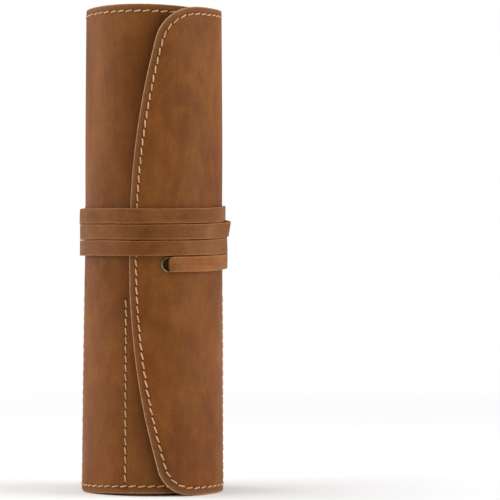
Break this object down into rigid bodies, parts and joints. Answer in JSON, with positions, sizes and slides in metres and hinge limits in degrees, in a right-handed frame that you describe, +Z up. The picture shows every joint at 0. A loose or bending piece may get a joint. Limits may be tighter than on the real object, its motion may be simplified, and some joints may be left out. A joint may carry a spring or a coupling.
{
  "type": "fountain pen case",
  "caption": "Leather fountain pen roll standing upright: pockets inside a rolled sheet with a curved flap, wrapped by a flat strap with a leaf-shaped tab.",
  "frame": {"origin": "centre of the bounding box's bottom face, where the rolled case stands on its lower rim", "axes": "+Z up along the roll's axis; -Y is the front, where the flap's curved edge and the eyelet are; +X is the side that the flap comes round from"},
  "size_m": [0.0627, 0.0644, 0.19],
  "materials": {
    "outer_leather": "waxed pull-up, satin",
    "strap_leather": "waxed pull-up, satin",
    "lining_leather": "matt suede side",
    "pocket_leather": "satin",
    "thread": "waxed thread",
    "antique_brass": "antique, satin"
  },
  "bodies": {
    "flap_tip": {"outer_flap_tip": "outer_leather", "lining_flap_tip": "lining_leather", "stitching_flap_tip": "thread", "eyelet": "antique_brass", "eyelet_washer": "antique_brass", "strap_stop": "strap_leather", "tie_strap": "strap_leather", "tab_back": "strap_leather", "tab_front": "strap_leather", "tab_seam": "thread"},
    "flap_root": {"outer_flap_root": "outer_leather", "lining_flap_root": "lining_leather", "stitching_flap_root": "thread"},
    "panel_1": {"outer_panel_1": "outer_leather", "lining_panel_1": "lining_leather", "stitching_panel_1": "thread", "pocket_1": "pocket_leather", "divider_seam_1": "thread"},
    "panel_2": {"outer_panel_2": "outer_leather", "lining_panel_2": "lining_leather", "stitching_panel_2": "thread", "pocket_2": "pocket_leather", "divider_seam_2": "thread"},
    "panel_3": {"outer_panel_3": "outer_leather", "lining_panel_3": "lining_leather", "stitching_panel_3": "thread", "pocket_3": "pocket_leather", "divider_seam_3": "thread"},
    "panel_4": {"outer_panel_4": "outer_leather", "lining_panel_4": "lining_leather", "stitching_panel_4": "thread", "pocket_4": "pocket_leather", "divider_seam_4": "thread"},
    "panel_5": {"outer_panel_5": "outer_leather", "lining_panel_5": "lining_leather", "stitching_panel_5": "thread", "pocket_5": "pocket_leather", "divider_seam_5": "thread"}
  },
  "joints": [
    {"name": "unroll", "type": "hinge", "parent": "panel_2", "child": "panel_1", "pos_m": [0.01385, 0.02277, 0.095], "axis": [0, 0, 1], "range_deg": [0, 62], "deforming": ["tie_strap", "tab_back", "tab_front", "tab_seam"]},
    {"name": "unroll_flap_root", "type": "hinge", "parent": "panel_1", "child": "flap_root", "pos_m": [0.02745, -0.00325, 0.095], "axis": [0, 0, 1], "range_deg": [0, 62]},
    {"name": "unroll_flap_tip", "type": "hinge", "parent": "flap_root", "child": "flap_tip", "pos_m": [0.01465, -0.02538, 0.095], "axis": [0, 0, 1], "range_deg": [0, 56]},
    {"name": "unroll_panel_3", "type": "hinge", "parent": "panel_2", "child": "panel_3", "pos_m": [-0.01407, 0.02296, 0.095], "axis": [0, 0, -1], "range_deg": [0, 56]},
    {"name": "unroll_panel_4", "type": "hinge", "parent": "panel_3", "child": "panel_4", "pos_m": [-0.02734, -0.00159, 0.095], "axis": [0, 0, -1], "range_deg": [0, 56]},
    {"name": "unroll_panel_5", "type": "hinge", "parent": "panel_4", "child": "panel_5", "pos_m": [-0.01189, -0.02484, 0.095], "axis": [0, 0, -1], "range_deg": [0, 50]}
  ],
  "couplings": [
    {"joint": "unroll_flap_root", "follows": "unroll", "ratio": 1},
    {"joint": "unroll_flap_tip", "follows": "unroll", "ratio": 0.9},
    {"joint": "unroll_panel_3", "follows": "unroll", "ratio": 0.9},
    {"joint": "unroll_panel_4", "follows": "unroll", "ratio": 0.9},
    {"joint": "unroll_panel_5", "follows": "unroll", "ratio": 0.8}
  ]
}
